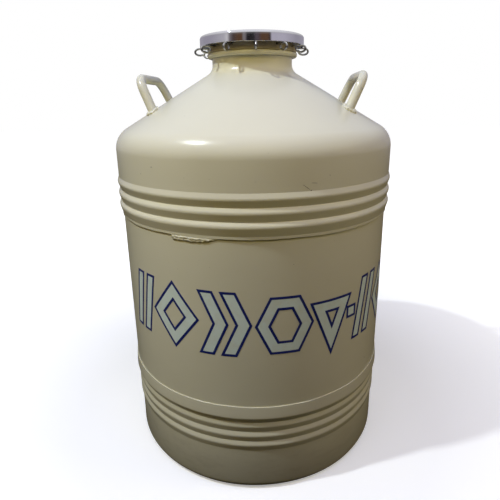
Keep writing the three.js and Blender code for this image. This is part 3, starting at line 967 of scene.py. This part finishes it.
MARKS = [  # degrees from the front, outer loops, whether each is a frame
    (-50, [slanted_bar(-14), slanted_bar(14)], False),
    (-32, [polygon(4, 84, 104)], True),
    (-11.5, [chevron(-17), chevron(17)], False),
    (10.6, [polygon(6, 84, 100)], True),
    (29.5, [polygon(3, 84, 116, 0.25)], True),
    (39.5, [polygon(4, 24, 24, 0.5)], False),
    (49, [slanted_bar(-14), slanted_bar(14)], False),
    (65, [polygon(4, 70, 104)], True),
]


def flat_region(work, outer, inner=None):
    """Adds the region between two loops, or inside one, to a flat mesh."""
    rims = [[work.verts.new((p.x, p.y, 0)) for p in loop] for loop in (outer, inner) if loop]
    if len(rims) == 1:
        work.faces.new(rims[0])
        return
    count = len(outer)
    for k in range(count):
        n = (k + 1) % count
        work.faces.new((rims[0][k], rims[0][n], rims[1][n], rims[1][k]))


def marking(name, paint, regions, lift):
    """Wraps flat regions round the band and gives them the thickness of a paint film."""
    work = bmesh.new()
    for degrees, outer, inner in regions:
        patch = bmesh.new()
        flat_region(patch, outer, inner)
        for cut in range(-60, 61, 4):
            everything = patch.verts[:] + patch.edges[:] + patch.faces[:]
            bmesh.ops.bisect_plane(patch, geom=everything, dist=1e-5, plane_co=(cut, 0, 0),
                                   plane_no=(1, 0, 0))
        bmesh.ops.triangulate(patch, faces=patch.faces)
        centre = front_angle(degrees)
        middle = marking_height(radians(degrees) * BAND_RADIUS)
        for v in patch.verts:
            angle = centre + v.co.x / BAND_RADIUS
            height = middle + v.co.y
            reach = BAND_RADIUS + body_stray(angle, BAND_RADIUS, height)[0] + lift
            v.co = polar(reach, angle, height) * MM
        loose = bpy.data.meshes.new("patch")
        patch.to_mesh(loose)
        patch.free()
        work.from_mesh(loose)
        bpy.data.meshes.remove(loose)
    joined(work)
    for face in work.faces:
        if face.normal.dot(Vector((*face.calc_center_median().xy, 0))) < 0:
            face.normal_flip()
    piece = used_up(name, work)
    film = piece.modifiers.new("film", "SOLIDIFY")
    film.thickness, film.offset = 0.12 * MM, 1
    finish(piece, "vessel", paint)


def markings():
    """Plain shapes in place of the lettering: pale inside, with a dark outline laid over."""
    tuck = MARK_EDGE * 0.5  # how far the pale paint goes under the outline
    outlines, fills = [], []
    for degrees, loops, framed in MARKS:
        for loop in loops:
            hole = inset(loop, FRAME) if framed else None
            for rim in (loop, hole) if framed else (loop,):
                outlines.append((degrees, inset(rim, -MARK_EDGE), inset(rim, MARK_EDGE)))
            fills.append((degrees, inset(loop, tuck), inset(hole, -tuck) if framed else None))
    marking("marking_fill", PALE, fills, 0.06)
    marking("marking_outline", NAVY, outlines, 0.14)


def seam_filler():
    """Ragged, flat filler under the upper lap, left of the front: two runs laid over each other."""
    start, end, count = front_angle(-30.5), front_angle(-11), 110
    for run, (drop, thick) in enumerate(((1.8, 3.0), (4.6, 2.6))):
        path = []
        for i in range(count):
            angle = start + (end - start) * i / (count - 1)
            ragged = noise.noise(Vector((angle * 34, run * 5, 3)))
            fade = min(1, i / 5, (count - 1 - i) / (26 + 22 * run))
            reach = BAND_RADIUS - 0.7 + body_stray(angle, BAND_RADIUS, LAP_HEIGHT)[0]
            height = bottom("top_shell").z - drop * fade + 0.9 * ragged * fade
            path.append(polar(reach, angle, height))

        def swell(step, angle):
            fade = min(1, (step + 2) / 5, (count + 4 - step) / 34)
            lumps = noise.noise(Vector((step * 0.19, 2 * cos(angle), run + sin(angle))))
            return fade * (1 + 0.34 * lumps)

        bead = tube(f"seam_filler_{run + 1}", path, thick, 16, swell=swell, sharp=180)
        finish(bead, "vessel", ENAMEL)


def chip(work, angle, height, length, width, tilt, seed):
    """One chip or scratch: a thin ragged sliver lying on the case."""
    rim, count = [], 14
    for k in range(count):
        turn = TAU * k / count
        ragged = 1 + 0.45 * noise.noise(Vector((seed, cos(turn) * 2, sin(turn) * 2)))
        along, across = length / 2 * cos(turn) * ragged, width / 2 * sin(turn) * ragged
        x = along * cos(tilt) - across * sin(tilt)
        y = along * sin(tilt) + across * cos(tilt)
        radius = BAND_RADIUS if height < LAP_HEIGHT else SHOULDER_RADIUS
        where = angle + x / radius
        reach = radius + body_stray(where, radius, height + y)[0]
        rim.append(polar(reach, where, height + y) * MM)
    outward = polar(1, angle) * MM
    low = [work.verts.new(p - outward * 0.10) for p in rim]
    high = [work.verts.new(p + outward * 0.07) for p in rim]
    work.faces.new(high)
    work.faces.new(low[::-1])
    for k in range(count):
        n = (k + 1) % count
        work.faces.new((low[k], low[n], high[n], high[k]))


def chips():
    """Knocks and scratches: four on the front of the shoulder, the rest strewn by a fixed seed."""
    work = bmesh.new()
    chip(work, front_angle(17.2), 492, 13.0, 0.6, -0.62, 1)
    chip(work, front_angle(18.8), 487.5, 2.0, 1.3, 0.2, 2)
    chip(work, front_angle(20.0), 497, 9.0, 0.5, -0.1, 3)
    chip(work, front_angle(-37.0), 516, 1.8, 1.3, 0.3, 30)
    draw = random.Random(12)
    for i in range(26):
        angle = draw.uniform(0, TAU)
        height = draw.choice((draw.uniform(170, 410), draw.uniform(500, 524)))
        long = draw.random() < 0.3
        length = draw.uniform(4, 9) if long else draw.uniform(0.8, 1.8)
        width = 0.45 if long else length * draw.uniform(0.5, 0.9)
        chip(work, angle, height, length, width, draw.uniform(-0.9, 0.9), i + 4)
    bmesh.ops.recalc_face_normals(work, faces=work.faces)
    finish(used_up("enamel_chips", work), "vessel", CHIPPED)

# ---- stage, lights and camera

def toward_view(vector):
    """Turns a place given from the front, which is -Y, to face the view."""
    return Matrix.Rotation(VIEW_TURN, 3, "Z") @ Vector(vector)


def camera():
    """The viewpoint: close and a little above the ribs, looking down."""
    distance, height = 0.77776, 0.59997
    pitch, roll = 0.28928, 0.01419
    data = bpy.data.cameras.new("view")
    data.sensor_width, data.lens = 36, 31.1
    data.shift_x, data.shift_y = -0.0091, -0.0395
    data.clip_start, data.clip_end = 0.01, 60
    eye = bpy.context.scene.camera = placed("view", data)
    eye.matrix_world = (
        Matrix.Translation(toward_view((0, -distance, height)))
        @ Matrix.Rotation(VIEW_TURN, 4, "Z") @ Matrix.Rotation(pi / 2 - pitch, 4, "X")
        @ Matrix.Rotation(-roll, 4, "Z"))


def area_light(name, place, target, size, power, colour, mirrored=False):
    """A soft box. Only a mirrored one shows in reflections."""
    data = bpy.data.lights.new(name, "AREA")
    data.shape, data.size, data.size_y = "RECTANGLE", size[0], size[1]
    data.energy, data.color = power, colour
    lamp = placed(name, data)
    place = toward_view(place)
    lamp.location = place
    lamp.rotation_euler = (toward_view(target) - place).to_track_quat("-Z", "Y").to_euler()
    lamp.visible_glossy = mirrored


def lights():
    """A small lamp up on the left, and soft boxes that leave the foot of the flask dim."""
    middle = Vector((0, 0, 0.6))
    lamp_way = Vector((-0.575, -0.265, 0.83)).normalized()
    area_light("key_lamp", middle + lamp_way * 2.7, middle, (0.09, 0.09), 43, (0.9, 0.965, 1.0),
               mirrored=True)
    area_light("sky_box", (0, -0.5, 1.7), (0, -0.1, 0.3), (1.6, 1.2), 11.8, (0.18, 0.31, 1.0))
    area_light("warm_box", (-0.1, -0.75, 1.15), (0, 0, 0.45), (0.9, 0.4), 2.8, (1.0, 0.8, 0.19))
    area_light("left_box", (-1.7, -0.9, 1.2), (0, 0, 0.4), (1.0, 1.2), 4.0, (1.0, 0.75, 0.33))
    area_light("right_box", (1.8, -0.4, 1.1), (0, 0, 0.4), (0.8, 1.4), 10.3, (1.0, 0.84, 0.54))
    area_light("back_box", (0.0, 1.8, 1.4), (0, 0, 0.5), (3.2, 1.4), 5.2, (1.0, 0.95, 0.96))


LAVENDER, PALE_LAVENDER = (0.36, 0.345, 0.4), (0.47, 0.45, 0.52)
BROWN, BLACK = (0.105, 0.055, 0.03), (0.012, 0.01, 0.012)
ROOM = [  # degrees to the right of the front, as the polished lid mirrors it
    (-180, LAVENDER), (-95, LAVENDER), (-62, (0.46, 0.45, 0.48)), (-54, (0.62, 0.61, 0.62)),
    (-48, (0.2, 0.18, 0.19)), (-40, (0.07, 0.05, 0.045)), (-30, BROWN), (-21, BROWN),
    (-18, (0.21, 0.19, 0.19)), (-14, (0.2, 0.18, 0.19)), (-10, BLACK), (4, BLACK),
    (9, (0.09, 0.07, 0.085)), (14, (0.07, 0.05, 0.06)), (21, BROWN), (34, BROWN),
    (39, (0.04, 0.025, 0.02)), (43, PALE_LAVENDER), (75, PALE_LAVENDER), (110, LAVENDER),
    (180, LAVENDER),
]


def world():
    """The room: seen only in reflections, and plain white behind the flask."""
    made = bpy.data.worlds.new("room")
    bpy.context.scene.world = made
    made.use_nodes = True
    n = Nodes(made.node_tree)
    n.tree.nodes.clear()
    way = n.add("ShaderNodeTexCoord").outputs["Generated"]
    x, y, z = n.add("ShaderNodeSeparateXYZ", {0: way}).outputs
    front = n.calc("ARCTAN2", x, n.calc("MULTIPLY", y, -1.0))
    turn = n.calc("ADD", n.calc("DIVIDE", n.calc("SUBTRACT", front, VIEW_TURN), TAU), 0.5)
    room = n.ramp(turn, [(0.5 + degrees / 360, colour) for degrees, colour in ROOM])
    lift = n.calc("ADD", n.calc("MULTIPLY", z, 0.5), 0.5)
    ends = n.ramp(lift, [(0.0, (0.02, 0.016, 0.01)), (0.45, (0.06, 0.05, 0.035)),
                         (0.62, (0.5, 0.5, 0.5)), (1.0, (0.85, 0.86, 0.9))])
    level = n.ramp(lift, [(0.42, (0, 0, 0)), (0.50, (1, 1, 1)), (0.57, (1, 1, 1)),
                          (0.66, (0, 0, 0))])

    def background(colour):
        return n.add("ShaderNodeBackground", {"Color": colour}).outputs[0]

    ray = n.add("ShaderNodeLightPath").outputs
    fill, mirrored = background((0.012, 0.01, 0.007)), background(n.mix(level, ends, room))
    links = {0: ray["Is Glossy Ray"], 1: fill, 2: mirrored}
    lighting = n.add("ShaderNodeMixShader", links).outputs[0]
    links = {0: ray["Is Camera Ray"], 1: lighting, 2: background((1, 1, 1))}
    n.add("ShaderNodeOutputWorld", {0: n.add("ShaderNodeMixShader", links).outputs[0]})


def floor():
    """Pale and matt, white away from the flask. It throws no light back up."""
    far = 9000
    verts = [(-far, -far, 0), (far, -far, 0), (far, far, 0), (-far, far, 0)]
    piece = mesh_piece("floor", verts, [(0, 1, 2, 3)])
    s = Surface("floor", Roughness=0.9, Specular_IOR_Level=0.1)
    tone = s.mix(s.spread(s.noise(3, 3), 0.3, 0.7), (0.86, 0.86, 0.85), (0.83, 0.83, 0.82))
    distance = s.add("ShaderNodeVectorMath", {0: s.place}, operation="LENGTH").outputs["Value"]
    glow = s.spread(distance, 0.35, 1.3, 0.35, 1.0)
    s.shader.inputs["Emission Color"].default_value = (1, 1, 1, 1)
    piece.data.materials.append(s.drive(Base_Color=tone, Emission_Strength=glow))
    piece.location.z = -0.5 * MM
    piece.visible_diffuse = piece.visible_glossy = False


base_shell()
body_band()
top_shell()
lifting_handle("right", 0)
lifting_handle("left", pi)
evacuation_port()
neck()
index_ring()
inner_vessel()
wrap_and_getter()
spider()
canisters()
lid()
fasteners()
markings()
seam_filler()
chips()
camera()
lights()
world()
floor()
bpy.context.scene.view_settings.view_transform = "Standard"
